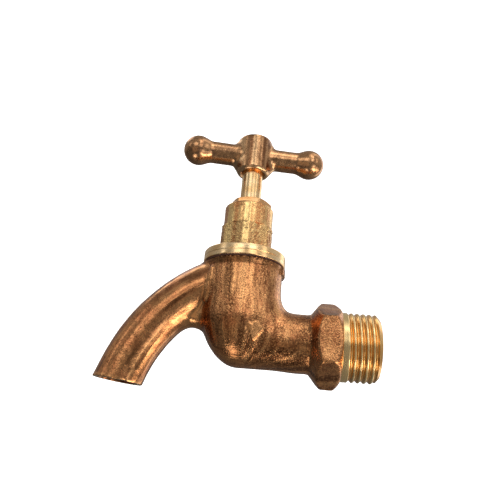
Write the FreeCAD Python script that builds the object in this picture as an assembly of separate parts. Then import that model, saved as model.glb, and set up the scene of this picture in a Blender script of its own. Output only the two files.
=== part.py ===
import FreeCAD, Part
import math
import os

# A half-inch bib tap (hose bib) with a tee handle, as an assembly of its separate pieces.
# Units are millimetres. The origin is on the inlet axis, at the shoulder where the threaded
# tail leaves the inlet hexagon. +X points out of the inlet, +Z up the spindle.

# ------------------------------------------------------------------ driving dimensions
AXIS_X = -31.5             # the spindle axis, measured back from the inlet shoulder

# inlet tail: G 1/2 parallel pipe thread
THREAD_R = 20.955 / 2
THREAD_PITCH = 25.4 / 14
THREAD_DEPTH = 1.162
CREST_END_R = 10.36        # the crests are dressed slightly smaller towards the end
TAIL_LENGTH = 11.35
TAIL_COLLAR = 1.6          # plain ring beside the hexagon
TAIL_THREAD_START_DEG = 240    # where round the tail the groove begins, from the bottom
TAIL_CHAMFER = 1.2
INLET_BORE_R = 7.0

# inlet hexagon, cast, corners up and down
HEX_CORNER_R = 13.4
HEX_LENGTH = 9.7           # from the pipe's surface to the shoulder
HEX_BACK = 5.9             # where the rear chamfer reaches the corners
HEX_BACK_R = 8.6           # the rear chamfer's small end, just inside the pipe
HEX_FRONT = 2.0            # where the front chamfer leaves the corners
SHOULDER_R = 11.1

# cast body
PIPE_R = 8.7
PIPE_START = 1.0           # centre of the pipe's round blind end, past the spindle axis
BARREL_R = 12.0
BARREL_FOOT_Z = 6.3        # centre of the barrel's round bottom
RIM_Z = 21.0               # where the barrel starts to flare under the bonnet
RIM_R = 12.7
LUG_Z = 20.3               # the lug left on the rim, on the inlet side
LUG_BEVEL = 0.7
LUG_R = 13.3
LUG_HALF_Y = 4.6
BODY_TOP_Z = 23.2
ELBOW_LEG = 2.6            # the elbow's upright leg, past the spindle axis
ELBOW_INNER_R = 7.0
NECK_FILLET = 3.0
SPOUT_FILLET = 2.5
CHAMBER_R = 9.4
CHAMBER_THREAD_R = 10.0
CHAMBER_THREAD_Z = 17.2
SEAT_Z = 10.0
SEAT_RING_R = 6.6
SEAT_BORE_R = 5.0
WEB_TOP_Z = 9.2
PORT_Z = 12.7              # the way out of the chamber into the spout
PORT_R = 5.0
PORT_END = 7.2             # how near the spindle axis the port is cored

# spout: an arc that leaves the barrel at 30 degrees and ends in a short straight nose
SPOUT_ARC_R = 48.6
SPOUT_CENTRE = (12.2, -26.6)    # of the arc, from the spindle axis
SPOUT_START_DEG = 113.0
SPOUT_BORE_START_DEG = 125.0
SPOUT_END_DEG = 160.85
SPOUT_NOSE = 5.0
SPOUT_ROOT_R = 7.75
SPOUT_NOSE_R = 7.4
SPOUT_BORE_R = 5.9
SPOUT_TRIM = 3.0           # cast this much too long, then cut off at the mouth
MOUTH_TILT_DEG = 5.7       # the mouth is cut off this far from level

# bonnet (headwork)
WASHER_T = 0.35
WASHER_INSET = 0.3         # the joint washer is this much smaller than the flange
BONNET_Z = BODY_TOP_Z + WASHER_T
FLANGE_R = 13.26
FLANGE_T = 3.7
SKIRT_Z = 17.8
SKIRT_BORE_R = 8.5
SKIRT_BORE_TOP_Z = 21.2
BONNET_HEX_AF = 16.4
BONNET_HEX_ROUND_R = 8.95  # the corners are rounded to this
BONNET_HEX_TOP_Z = 36.5
BONNET_R = 8.1
BONNET_TOP_Z = 44.1
SPINDLE_THREAD_R = 4.6
SPINDLE_BORE_R = 4.68
SPINDLE_BORE_TOP_Z = 31.8
STUFFING_FLOOR_Z = 33.8
STUFFING_R = 5.8
BONNET_THREAD_PITCH = 1.5
BONNET_THREAD_DEPTH = 0.9
FLANGE_BEVEL = 0.35
BONNET_BEVEL = 0.6

# thread grooves, as shares of the pitch at their mouth and floor
GROOVE_MOUTH = 0.86
GROOVE_FLOOR = 0.16
GROOVE_OVER = 0.12
THREAD_LEAD_IN = 0.5       # plain length before the first groove
THREAD_RUN_OUT = 1.0       # plain length after the last

# gland
PACKING_T = 1.9
PACKING_COUNT = 2
GLAND_WASHER_T = 1.0
GLAND_HEX_AF = 12.4
GLAND_HEX_TURN_DEG = 54.9
GLAND_HEX_OFF = 0.35       # the flats were cut a little to the inlet side of the spindle axis
GLAND_HEAD_Z = 44.3
GLAND_TOP_Z = 46.3
GLAND_BEVEL = 0.5
GLAND_EASE = 0.1           # the corners are broken by this much
GLAND_THREAD_PITCH = 1.0
GLAND_THREAD_DEPTH = 0.6

# spindle
SPINDLE_R = 3.5
SPINDLE_FOOT_Z = 15.0
SPINDLE_THREAD_TOP_Z = 26.4
SPINDLE_LEAD = 2.54        # rise for each turn
SPINDLE_THREAD_DEPTH = 0.9
SPINDLE_BORE_EXTRA = 1.0   # air above the jumper's stem
SQUARE_AF = 5.0
SPINDLE_TOP_Z = 70.6
RUNNING = 0.08             # radial clearance of a running fit

# jumper valve
JUMPER_PLATE_R = 8.0
JUMPER_STEM_R = 2.2
JUMPER_STEM_TOP_Z = 25.0
STUD_R = 1.75
STUD_END_Z = 7.8
TAP_WASHER_R = 7.4
TAP_WASHER_T = 3.2
CUP_RIM_T = 0.5
CUP_RIM_DEPTH = 1.2
WASHER_NUT_AF = 6.0
WASHER_NUT_T = 1.8

# tee handle
HANDLE_Z = 64.6            # the bar's axis
HANDLE_TURN_DEG = 9.0      # the closed handle stands this far from the pipe's line
BAR_R = 3.8
BALL_R = 5.17
BALL_REACH = 19.7
BOSS_R = 5.7
BOSS_BOTTOM_Z = 57.5
BOSS_TOP_Z = 71.0
WEB_R = 8.3
WEB_HALF_Y = 4.4
COUNTERSINK_R = 4.5
COUNTERSINK_DEPTH = 1.0
GRUB_R = 1.6
GRUB_Z = 62.0
GRUB_SINK = 0.4            # how far its end lies below the boss's surface
GRUB_SLOT_WIDTH = 0.5
GRUB_SLOT_DEPTH = 0.7
BALL_FILLET = 1.5

# how far construction solids reach, and how closely edges are compared
PAST = 1.0                 # a cutting solid runs this far past the face it opens
OVERLAP = 0.5              # solids to be joined run this far into each other
BIG = 100.0                # larger than any piece
ON_SURFACE = 0.03          # an edge this close to a surface lies on it
EDGE_SAMPLES = 7

X_AXIS = FreeCAD.Vector(1, 0, 0)
Y_AXIS = FreeCAD.Vector(0, 1, 0)
Z_AXIS = FreeCAD.Vector(0, 0, 1)
SPINDLE_BASE = FreeCAD.Vector(AXIS_X, 0, 0)


# ------------------------------------------------------------------ helpers
def vec(x, y=0.0, z=0.0):
    return FreeCAD.Vector(x, y, z)


def rod(radius, z0, z1):
    """A cylinder on the spindle axis from z0 up to z1."""
    return Part.makeCylinder(radius, z1 - z0, vec(AXIS_X, 0, z0), Z_AXIS)


def tube(outer, inner, z0, z1):
    """A ring on the spindle axis."""
    return rod(outer, z0, z1).cut(rod(inner, z0 - PAST, z1 + PAST))


def turned(profile):
    """Revolve a closed outline of (radius, z) points about the spindle axis."""
    points = [vec(AXIS_X + r, 0, z) for r, z in profile]
    face = Part.Face(Part.makePolygon(points + points[:1]))
    return face.revolve(SPINDLE_BASE, Z_AXIS, 360)


def turned_inlet(profile):
    """Revolve a closed outline of (x, radius) points about the inlet axis."""
    points = [vec(x, 0, r) for x, r in profile]
    face = Part.Face(Part.makePolygon(points + points[:1]))
    return face.revolve(vec(0), X_AXIS, 360)


def hex_prism(across_flats, z0, z1, turn_deg=0.0):
    """A hexagonal prism on the spindle axis with its first corner at turn_deg."""
    corner = across_flats / math.sqrt(3)
    points = []
    for side in range(6):
        angle = math.radians(turn_deg + 60 * side)
        points.append(vec(AXIS_X + corner * math.cos(angle), corner * math.sin(angle), z0))
    return Part.Face(Part.makePolygon(points + points[:1])).extrude(Z_AXIS * (z1 - z0))


def thread_groove(crest_r, depth, pitch, length):
    """A V-shaped groove that winds up +Z from the origin, to cut a thread with."""
    mouth = GROOVE_MOUTH * pitch / 2
    floor = GROOVE_FLOOR * pitch / 2
    points = [
        vec(crest_r - depth, 0, -floor),
        vec(crest_r + GROOVE_OVER, 0, -mouth),
        vec(crest_r + GROOVE_OVER, 0, mouth),
        vec(crest_r - depth, 0, floor),
    ]
    outline = Part.makePolygon(points + points[:1])
    helix = Part.Wire(Part.makeHelix(pitch, length, crest_r))
    return helix.makePipeShell([outline], True, True)


def threaded(solid, crest_r, depth, pitch, z0, z1):
    """Cut a thread between two heights of a solid that stands on the spindle axis."""
    start = z0 + THREAD_LEAD_IN
    groove = thread_groove(crest_r, depth, pitch, z1 - THREAD_RUN_OUT - start)
    groove.translate(vec(AXIS_X, 0, start))
    return solid.cut(groove)


def cleaned(shape):
    """The one solid of a boolean result, with its split faces merged."""
    merged = shape.removeSplitter()
    if len(merged.Solids) != 1 or not merged.isValid():
        raise ValueError(f"expected one valid solid, got {len(merged.Solids)}")
    return merged.Solids[0]


# ------------------------------------------------------------------ tap body
def spout_point(angle_deg, radius=SPOUT_ARC_R):
    """A point on the spout's arc; the angle turns from +X towards +Z."""
    angle = math.radians(angle_deg)
    x = AXIS_X + SPOUT_CENTRE[0] + radius * math.cos(angle)
    return vec(x, 0, SPOUT_CENTRE[1] + radius * math.sin(angle))


def spout_direction(angle_deg):
    """Along the spout towards its mouth."""
    angle = math.radians(angle_deg)
    return vec(-math.sin(angle), 0, math.cos(angle))


def spout_rod(start_deg, start_r, end_r, nose):
    """A tapering rod along the spout's arc, then along its straight nose."""
    start = spout_point(start_deg)
    middle = spout_point((start_deg + SPOUT_END_DEG) / 2)
    end = spout_point(SPOUT_END_DEG)
    rings = []
    for angle, radius in ((start_deg, start_r), (SPOUT_END_DEG, end_r)):
        circle = Part.makeCircle(radius, spout_point(angle), spout_direction(angle))
        rings.append(Part.Wire(circle))
    path = Part.Wire(Part.Arc(start, middle, end).toShape())
    bend = path.makePipeShell(rings, True, False)
    return bend.fuse(Part.makeCylinder(end_r, nose, end, spout_direction(SPOUT_END_DEG)))


def past_mouth():
    """Everything beyond the slightly tilted cut across the spout's mouth."""
    mouth = spout_point(SPOUT_END_DEG) + spout_direction(SPOUT_END_DEG) * SPOUT_NOSE
    block = Part.makeBox(BIG, BIG, BIG, vec(-BIG / 2, -BIG / 2, -BIG))
    block.rotate(vec(0), Y_AXIS, MOUTH_TILT_DEG)
    block.translate(mouth)
    return block


def elbow():
    """A quarter bend from the pipe up into the barrel, which rounds the neck between them."""
    bend_r = ELBOW_INNER_R + PIPE_R
    centre = vec(AXIS_X + ELBOW_LEG + bend_r, 0, bend_r)
    bend = Part.makeTorus(bend_r, PIPE_R, centre, Y_AXIS, -180, 180, 90)
    bend.rotate(centre, Y_AXIS, 180)
    return bend


def on_barrel(edge):
    """True for an edge that runs round the barrel's side or foot, other than a level circle."""
    if edge.Length < ON_SURFACE or edge.isClosed():
        return False
    step = (edge.LastParameter - edge.FirstParameter) / (EDGE_SAMPLES + 1)
    points = [edge.valueAt(edge.FirstParameter + step * (n + 1)) for n in range(EDGE_SAMPLES)]
    heights = [point.z for point in points]
    if max(heights) - min(heights) < ON_SURFACE:
        return False
    if max(abs(point.y) for point in points) < ON_SURFACE:
        return False
    for point in points:
        drop = min(point.z - BARREL_FOOT_Z, 0.0)
        if abs(math.hypot(point.x - AXIS_X, point.y, drop) - BARREL_R) > ON_SURFACE:
            return False
    return True


def body_skin():
    """The outside of the cast body, filled solid, with its junctions blended."""
    barrel = turned([
        (0, BARREL_FOOT_Z),
        (BARREL_R, BARREL_FOOT_Z),
        (BARREL_R, RIM_Z),
        (RIM_R, BODY_TOP_Z),
        (0, BODY_TOP_Z),
    ])
    foot = Part.makeSphere(BARREL_R, vec(AXIS_X, 0, BARREL_FOOT_Z), Z_AXIS, -90, 0, 360)
    pipe_x = AXIS_X + PIPE_START
    pipe = Part.makeCylinder(PIPE_R, OVERLAP - HEX_LENGTH - pipe_x, vec(pipe_x), X_AXIS)
    pipe_end = Part.makeSphere(PIPE_R, vec(pipe_x))
    spout = spout_rod(SPOUT_START_DEG, SPOUT_ROOT_R, SPOUT_NOSE_R, SPOUT_NOSE + SPOUT_TRIM)
    above = Part.makeBox(2 * BIG, 2 * BIG, BIG, vec(-BIG, -BIG, BODY_TOP_Z))
    skin = cleaned(barrel.fuse([foot, pipe, pipe_end, elbow(), spout]).cut([above, past_mouth()]))
    spout_root = []
    for edge in skin.Edges:
        box = edge.BoundBox
        if on_barrel(edge) and box.ZMin > BARREL_FOOT_Z and box.XMax < AXIS_X:
            spout_root.append(edge)
    skin = skin.makeFillet(SPOUT_FILLET, spout_root)
    neck = [edge for edge in skin.Edges if on_barrel(edge) and edge.BoundBox.XMax > AXIS_X]
    return cleaned(skin.makeFillet(NECK_FILLET, neck).fuse(rim_lug()))


def rim_lug():
    """The low block on the barrel's rim, where the mould's feeder was cut away."""
    ring = turned([
        (BARREL_R - OVERLAP, LUG_Z),
        (BARREL_R, LUG_Z),
        (LUG_R, LUG_Z + LUG_BEVEL),
        (LUG_R, BODY_TOP_Z),
        (BARREL_R - OVERLAP, BODY_TOP_Z),
    ])
    return ring.common(Part.makeBox(BIG, 2 * LUG_HALF_Y, BIG, vec(AXIS_X, -LUG_HALF_Y)))


def inlet_hexagon():
    """The cast spanner flats, with a corner up and a corner down, bevelled at both ends."""
    corners = []
    for side in range(6):
        angle = math.radians(90 + 60 * side)
        y = HEX_CORNER_R * math.cos(angle)
        corners.append(vec(-HEX_LENGTH, y, HEX_CORNER_R * math.sin(angle)))
    prism = Part.Face(Part.makePolygon(corners + corners[:1])).extrude(X_AXIS * HEX_LENGTH)
    envelope = [
        (-HEX_LENGTH, 0),
        (-HEX_LENGTH, HEX_BACK_R),
        (-HEX_BACK, HEX_CORNER_R + ON_SURFACE),
        (-HEX_FRONT, HEX_CORNER_R + ON_SURFACE),
        (0, SHOULDER_R),
        (0, 0),
    ]
    return prism.common(turned_inlet(envelope))


def threaded_tail():
    """The inlet's outside thread, with a plain ring beside the hexagon."""
    blank = turned_inlet([
        (-OVERLAP, 0),
        (-OVERLAP, THREAD_R),
        (TAIL_COLLAR, THREAD_R),
        (TAIL_LENGTH - TAIL_CHAMFER, CREST_END_R),
        (TAIL_LENGTH, CREST_END_R - TAIL_CHAMFER),
        (TAIL_LENGTH, 0),
    ])
    length = TAIL_LENGTH - TAIL_COLLAR + THREAD_PITCH
    groove = thread_groove(THREAD_R, THREAD_DEPTH, THREAD_PITCH, length)
    groove.rotate(vec(0), Y_AXIS, 90)
    groove.rotate(vec(0), X_AXIS, TAIL_THREAD_START_DEG)
    groove.translate(vec(TAIL_COLLAR + THREAD_PITCH / 2, 0, 0))
    return blank.cut(groove)


def waterway():
    """Everything hollow inside the body: inlet bore, seat, chamber and spout bore."""
    pipe_x = AXIS_X + PIPE_START
    inlet = Part.makeCylinder(INLET_BORE_R, TAIL_LENGTH + PAST - pipe_x, vec(pipe_x), X_AXIS)
    inlet_end = Part.makeSphere(INLET_BORE_R, vec(pipe_x))
    seat_bore = rod(SEAT_BORE_R, 0, SEAT_Z + PAST)
    chamber = rod(CHAMBER_R, WEB_TOP_Z, BODY_TOP_Z + PAST)
    chamber = chamber.cut(rod(SEAT_RING_R, WEB_TOP_Z - PAST, SEAT_Z))
    thread_bore = rod(CHAMBER_THREAD_R, CHAMBER_THREAD_Z, BODY_TOP_Z + PAST)
    bend = spout_point(SPOUT_BORE_START_DEG)
    port_length = AXIS_X - PORT_END - bend.x
    port = Part.makeCylinder(PORT_R, port_length, vec(bend.x, 0, PORT_Z), X_AXIS)
    turn = Part.makeSphere(SPOUT_BORE_R, bend)
    spout = spout_rod(SPOUT_BORE_START_DEG, SPOUT_BORE_R, SPOUT_BORE_R, SPOUT_NOSE + SPOUT_TRIM + PAST)
    return inlet.fuse([inlet_end, seat_bore, chamber, thread_bore, port, turn, spout])


def tap_body():
    solid = body_skin().fuse([inlet_hexagon(), threaded_tail()])
    return cleaned(solid.cut(waterway()))


# ------------------------------------------------------------------ bonnet and gland
def bonnet():
    """The headwork: threaded skirt, turned flange, spanner hexagon and stuffing box."""
    flange_top = BONNET_Z + FLANGE_T
    skirt = threaded(
        rod(CHAMBER_THREAD_R, SKIRT_Z, BONNET_Z),
        CHAMBER_THREAD_R, BONNET_THREAD_DEPTH, BONNET_THREAD_PITCH, SKIRT_Z, BONNET_Z,
    )
    flange = turned([
        (0, BONNET_Z),
        (FLANGE_R, BONNET_Z),
        (FLANGE_R, flange_top - FLANGE_BEVEL),
        (FLANGE_R - FLANGE_BEVEL, flange_top),
        (0, flange_top),
    ])
    flats = hex_prism(BONNET_HEX_AF, flange_top, BONNET_HEX_TOP_Z, 30)
    flats = flats.common(rod(BONNET_HEX_ROUND_R, flange_top, BONNET_HEX_TOP_Z))
    neck = turned([
        (0, BONNET_HEX_TOP_Z),
        (BONNET_R, BONNET_HEX_TOP_Z),
        (BONNET_R, BONNET_TOP_Z - BONNET_BEVEL),
        (BONNET_R - BONNET_BEVEL, BONNET_TOP_Z),
        (0, BONNET_TOP_Z),
    ])
    recess = rod(SKIRT_BORE_R, SKIRT_Z - PAST, SKIRT_BORE_TOP_Z)
    spindle_bore = rod(SPINDLE_BORE_R, SKIRT_Z, SPINDLE_BORE_TOP_Z)
    neck_bore = rod(SPINDLE_R + RUNNING, SKIRT_Z, BONNET_TOP_Z + PAST)
    stuffing = rod(STUFFING_R, STUFFING_FLOOR_Z, BONNET_TOP_Z + PAST)
    solid = skirt.fuse([flange, flats, neck])
    return cleaned(solid.cut([recess, spindle_bore, neck_bore, stuffing]))


def bonnet_washer():
    return tube(FLANGE_R - WASHER_INSET, CHAMBER_THREAD_R, BODY_TOP_Z, BONNET_Z)


def packing_ring(number):
    z0 = STUFFING_FLOOR_Z + PACKING_T * number
    return tube(STUFFING_R, SPINDLE_R + RUNNING / 2, z0, z0 + PACKING_T)


def packing_top():
    return STUFFING_FLOOR_Z + PACKING_T * PACKING_COUNT


def gland_washer():
    z0 = packing_top()
    return tube(STUFFING_R - RUNNING, SPINDLE_R + RUNNING, z0, z0 + GLAND_WASHER_T)


def gland_nut():
    """A hexagon head over a threaded sleeve that presses on the packing."""
    foot = packing_top() + GLAND_WASHER_T
    sleeve = rod(STUFFING_R, foot, GLAND_HEAD_Z)
    sleeve = threaded(sleeve, STUFFING_R, GLAND_THREAD_DEPTH, GLAND_THREAD_PITCH, foot, GLAND_HEAD_Z)
    corner = GLAND_HEX_AF / math.sqrt(3) - GLAND_EASE
    head = hex_prism(GLAND_HEX_AF, GLAND_HEAD_Z, GLAND_TOP_Z, GLAND_HEX_TURN_DEG)
    head = head.common(turned([
        (0, GLAND_HEAD_Z),
        (corner - GLAND_BEVEL / 2, GLAND_HEAD_Z),
        (corner, GLAND_HEAD_Z + GLAND_BEVEL / 2),
        (corner, GLAND_TOP_Z - GLAND_BEVEL),
        (corner - 2 * GLAND_BEVEL, GLAND_TOP_Z),
        (0, GLAND_TOP_Z),
    ]))
    head.translate(vec(GLAND_HEX_OFF))
    return cleaned(sleeve.fuse(head).cut(rod(SPINDLE_R + RUNNING, foot - PAST, GLAND_TOP_Z + PAST)))


# ------------------------------------------------------------------ spindle and jumper valve
def countersink_floor():
    return BOSS_BOTTOM_Z + COUNTERSINK_DEPTH


def spindle():
    """The rising stem: threaded foot with a socket for the jumper, square top."""
    foot = rod(SPINDLE_THREAD_R, SPINDLE_FOOT_Z, SPINDLE_THREAD_TOP_Z)
    foot = threaded(
        foot, SPINDLE_THREAD_R, SPINDLE_THREAD_DEPTH, SPINDLE_LEAD,
        SPINDLE_FOOT_Z, SPINDLE_THREAD_TOP_Z + THREAD_RUN_OUT,
    )
    stem = rod(SPINDLE_R, SPINDLE_FOOT_Z, countersink_floor())
    half = SQUARE_AF / 2
    square = Part.makeBox(SQUARE_AF, SQUARE_AF, SPINDLE_TOP_Z - countersink_floor())
    square.translate(vec(-half, -half, countersink_floor()))
    square.rotate(vec(0), Z_AXIS, HANDLE_TURN_DEG)
    square.translate(SPINDLE_BASE)
    square = square.common(rod(SPINDLE_R, countersink_floor(), SPINDLE_TOP_Z))
    socket_top = JUMPER_STEM_TOP_Z + SPINDLE_BORE_EXTRA
    socket = rod(JUMPER_STEM_R + RUNNING, SPINDLE_FOOT_Z - PAST, socket_top)
    return cleaned(foot.fuse([stem, square]).cut(socket))


def jumper():
    """The valve plate, cupped round its washer, with a stem above and a stud below."""
    plate_z = SEAT_Z + TAP_WASHER_T
    outline = [
        (0, STUD_END_Z),
        (STUD_R, STUD_END_Z),
        (STUD_R, plate_z),
        (TAP_WASHER_R, plate_z),
        (JUMPER_PLATE_R - CUP_RIM_T, plate_z - CUP_RIM_DEPTH),
        (JUMPER_PLATE_R, plate_z - CUP_RIM_DEPTH),
        (JUMPER_PLATE_R, SPINDLE_FOOT_Z),
        (JUMPER_STEM_R, SPINDLE_FOOT_Z),
        (JUMPER_STEM_R, JUMPER_STEM_TOP_Z),
        (0, JUMPER_STEM_TOP_Z),
    ]
    return turned(outline)


def tap_washer():
    return tube(TAP_WASHER_R, STUD_R, SEAT_Z, SEAT_Z + TAP_WASHER_T)


def washer_nut():
    nut = hex_prism(WASHER_NUT_AF, SEAT_Z - WASHER_NUT_T, SEAT_Z)
    return nut.cut(rod(STUD_R, STUD_END_Z - PAST, SEAT_Z + PAST))


# ------------------------------------------------------------------ handle
def on_handle(shape):
    """Bring a shape from the handle's own axes (bar along X) to its closed position."""
    shape.rotate(vec(0), Z_AXIS, HANDLE_TURN_DEG)
    shape.translate(SPINDLE_BASE)
    return shape


def grub_hole(length):
    return Part.makeCylinder(GRUB_R, length, vec(0, SQUARE_AF / 2, GRUB_Z), Y_AXIS)


def ball_ended_bar():
    """The handle's bar along X, whose ball ends run into it with a small hollow radius."""
    reach = math.sqrt((BALL_R + BALL_FILLET) ** 2 - (BAR_R + BALL_FILLET) ** 2)
    hollow = vec(BALL_REACH - reach, 0, BAR_R + BALL_FILLET)
    ball = vec(BALL_REACH)
    bar_end = vec(hollow.x, 0, BAR_R)
    meet = ball + (hollow - ball) * (BALL_R / (BALL_R + BALL_FILLET))
    tip = ball + X_AXIS * BALL_R
    hollow_middle = hollow + (bar_end - hollow + meet - hollow).normalize() * BALL_FILLET
    ball_middle = ball + (meet - ball + tip - ball).normalize() * BALL_R
    outline = Part.Wire([
        Part.makeLine(vec(0), vec(0, 0, BAR_R)),
        Part.makeLine(vec(0, 0, BAR_R), bar_end),
        Part.Arc(bar_end, hollow_middle, meet).toShape(),
        Part.Arc(meet, ball_middle, tip).toShape(),
        Part.makeLine(tip, vec(0)),
    ])
    half = Part.Face(outline).revolve(vec(0), X_AXIS, 360)
    other = half.copy()
    other.rotate(vec(0), Z_AXIS, 180)
    bar = half.fuse(other)
    bar.translate(Z_AXIS * HANDLE_Z)
    return bar


def tee_handle():
    """The cast crutch: a bar with ball ends through a round boss."""
    drum = Part.makeCylinder(BOSS_R, BOSS_TOP_Z - BOSS_BOTTOM_Z, vec(0, 0, BOSS_BOTTOM_Z))
    squash = FreeCAD.Matrix()
    squash.scale(1, WEB_HALF_Y / WEB_R, 1)
    web = Part.makeSphere(WEB_R, vec(0)).transformGeometry(squash)
    web.translate(Z_AXIS * HANDLE_Z)
    slab = Part.makeBox(BIG, BIG, BOSS_TOP_Z - BOSS_BOTTOM_Z, vec(-BIG / 2, -BIG / 2, BOSS_BOTTOM_Z))
    solid = ball_ended_bar().fuse([drum, web.common(slab)])
    half = SQUARE_AF / 2
    below = BOSS_BOTTOM_Z - PAST
    square = Part.makeBox(SQUARE_AF, SQUARE_AF, BIG, vec(-half, -half, below))
    square = square.common(Part.makeCylinder(SPINDLE_R, BIG, vec(0, 0, below)))
    sink = Part.makeCone(COUNTERSINK_R, SPINDLE_R, COUNTERSINK_DEPTH, vec(0, 0, BOSS_BOTTOM_Z))
    solid = solid.cut([square, sink, grub_hole(WEB_R)])
    return cleaned(on_handle(solid))


def handle_screw():
    """The slotted grub screw that locks the handle on the spindle's square."""
    length = BOSS_R - SQUARE_AF / 2 - GRUB_SINK
    screw = grub_hole(length)
    end = SQUARE_AF / 2 + length
    slot = Part.makeBox(BIG, GRUB_SLOT_DEPTH + PAST, GRUB_SLOT_WIDTH)
    slot.translate(vec(-BIG / 2, end - GRUB_SLOT_DEPTH, GRUB_Z - GRUB_SLOT_WIDTH / 2))
    return cleaned(on_handle(screw.cut(slot)))


# ------------------------------------------------------------------ the assembly
def pieces():
    made = {
        "tap_body": tap_body(),
        "bonnet": bonnet(),
        "bonnet_washer": bonnet_washer(),
        "gland_washer": gland_washer(),
        "gland_nut": gland_nut(),
        "spindle": spindle(),
        "jumper_valve": jumper(),
        "tap_washer": tap_washer(),
        "washer_nut": washer_nut(),
        "tee_handle": tee_handle(),
        "handle_screw": handle_screw(),
    }
    for number in range(PACKING_COUNT):
        made[f"packing_ring_{number + 1}"] = packing_ring(number)
    return made


def main():
    os.makedirs("parts", exist_ok=True)
    for name, shape in pieces().items():
        if not shape.isValid() or len(shape.Solids) != 1:
            raise ValueError(f"{name} is not one valid solid")
        shape.exportStep(os.path.join("parts", name + ".step"))


if __name__ == "__main__":
    main()
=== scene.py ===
import math

import bpy
import numpy as np
from mathutils import Matrix, Vector


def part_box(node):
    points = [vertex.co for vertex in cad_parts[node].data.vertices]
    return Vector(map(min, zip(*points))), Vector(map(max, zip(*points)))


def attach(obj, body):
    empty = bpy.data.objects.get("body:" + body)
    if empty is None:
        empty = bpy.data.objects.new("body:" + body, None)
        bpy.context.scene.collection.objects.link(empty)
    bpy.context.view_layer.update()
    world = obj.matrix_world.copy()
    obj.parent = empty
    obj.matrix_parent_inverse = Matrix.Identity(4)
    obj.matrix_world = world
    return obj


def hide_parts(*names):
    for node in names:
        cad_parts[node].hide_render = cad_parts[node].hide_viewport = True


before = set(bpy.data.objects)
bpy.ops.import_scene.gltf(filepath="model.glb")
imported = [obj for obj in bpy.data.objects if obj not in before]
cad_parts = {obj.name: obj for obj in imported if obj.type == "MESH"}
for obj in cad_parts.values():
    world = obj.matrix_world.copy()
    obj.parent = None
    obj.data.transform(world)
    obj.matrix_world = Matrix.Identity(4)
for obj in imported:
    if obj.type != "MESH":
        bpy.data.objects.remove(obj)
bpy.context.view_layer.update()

# A half-inch bib tap with a tee handle. Lengths below are millimetres unless a name says
# otherwise; the meshes are made in millimetres and scaled to metres at the end.
MM = 0.001


# ------------------------------------------------------------------ places from the frame
def box_mm(node):
    low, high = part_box(node)
    return np.array(low) / MM, np.array(high) / MM


BODY_LOW, BODY_HIGH = box_mm("tap_body")
BONNET_LOW, BONNET_HIGH = box_mm("bonnet")
GLAND_LOW, GLAND_HIGH = box_mm("gland_nut")
HANDLE_LOW, HANDLE_HIGH = box_mm("tee_handle")
SPINDLE_LOW, SPINDLE_HIGH = box_mm("spindle")
WASHER_HIGH = box_mm("bonnet_washer")[1]

AXIS_X = (BONNET_LOW[0] + BONNET_HIGH[0]) / 2      # the spindle axis
BODY_TOP_Z = BODY_HIGH[2]
TAIL_LENGTH = BODY_HIGH[0]
FLANGE_R = (BONNET_HIGH[0] - BONNET_LOW[0]) / 2
SKIRT_Z = BONNET_LOW[2]
BONNET_Z = WASHER_HIGH[2]
BONNET_TOP_Z = BONNET_HIGH[2]
GLAND_FOOT_Z = GLAND_LOW[2]
GLAND_TOP_Z = GLAND_HIGH[2]
BOSS_BOTTOM_Z = HANDLE_LOW[2]
BOSS_TOP_Z = HANDLE_HIGH[2]
SPINDLE_FOOT_Z = SPINDLE_LOW[2]
SPINDLE_TOP_Z = SPINDLE_HIGH[2]

# ------------------------------------------------------------------ shapes the frame doesn't say
# cast body
PIPE_R = 8.7
PIPE_START = 1.0               # centre of the pipe's round blind end, past the spindle axis
BARREL_R = 12.0
BARREL_FOOT_Z = 6.3            # centre of the barrel's round bottom
RIM_Z = 21.0                   # where the barrel starts to flare under the bonnet
RIM_R = 12.7
LUG_Z = 20.3                   # the lug left on the rim, on the inlet side
LUG_BEVEL = 0.7
LUG_R = 13.3
ELBOW_LEG = 2.6
ELBOW_INNER_R = 7.0
ELBOW_R = ELBOW_INNER_R + PIPE_R
SPOUT_ARC_R = 48.6
SPOUT_CENTRE = (12.2, -26.6)   # from the spindle axis
SPOUT_START = math.radians(113.0)
SPOUT_END = math.radians(160.85)
SPOUT_BORE_START = math.radians(125.0)
SPOUT_NOSE = 5.0
SPOUT_ROOT_R = 7.75
SPOUT_NOSE_R = 7.4
SPOUT_BORE_R = 5.9
MOUTH_TILT = math.radians(5.7)
HEX_CORNER_R = 13.4
HEX_LENGTH = 9.7
HEX_BACK = 5.9
HEX_BACK_R = 8.6
HEX_FRONT = 2.0
SEAM_R = 0.35                  # the fine bead where pipe and hexagon meet
SHOULDER_R = 11.1
INLET_BORE_R = 7.0
CHAMBER_R = 9.4
CHAMBER_THREAD_R = 10.0
CHAMBER_THREAD_Z = 17.2
SEAT_Z = 10.0
SEAT_RING_R = 6.6
SEAT_BORE_R = 5.0
WEB_TOP_Z = 9.2
PORT_Z = 12.7
PORT_R = 5.0
PORT_END = 7.2

# marks of casting and dressing: the ridge's line as (from the spindle axis, y, z), and the
# filed patch's corners as (from the spindle axis, z)
RIDGE = [(-9.0, -8.0, 19.8), (-9.4, -7.8, 16.5), (-9.8, -7.2, 13.2), (-10.2, -6.5, 10.6)]
RIDGE_R = 0.9
PATCH_CORNERS = [(3.4, 2.7), (5.2, -2.1), (8.4, 1.9), (6.2, 3.6)]
PATCH_NORMAL = (0.25, -0.95, -0.20)
PATCH_Y = -11.3

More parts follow.
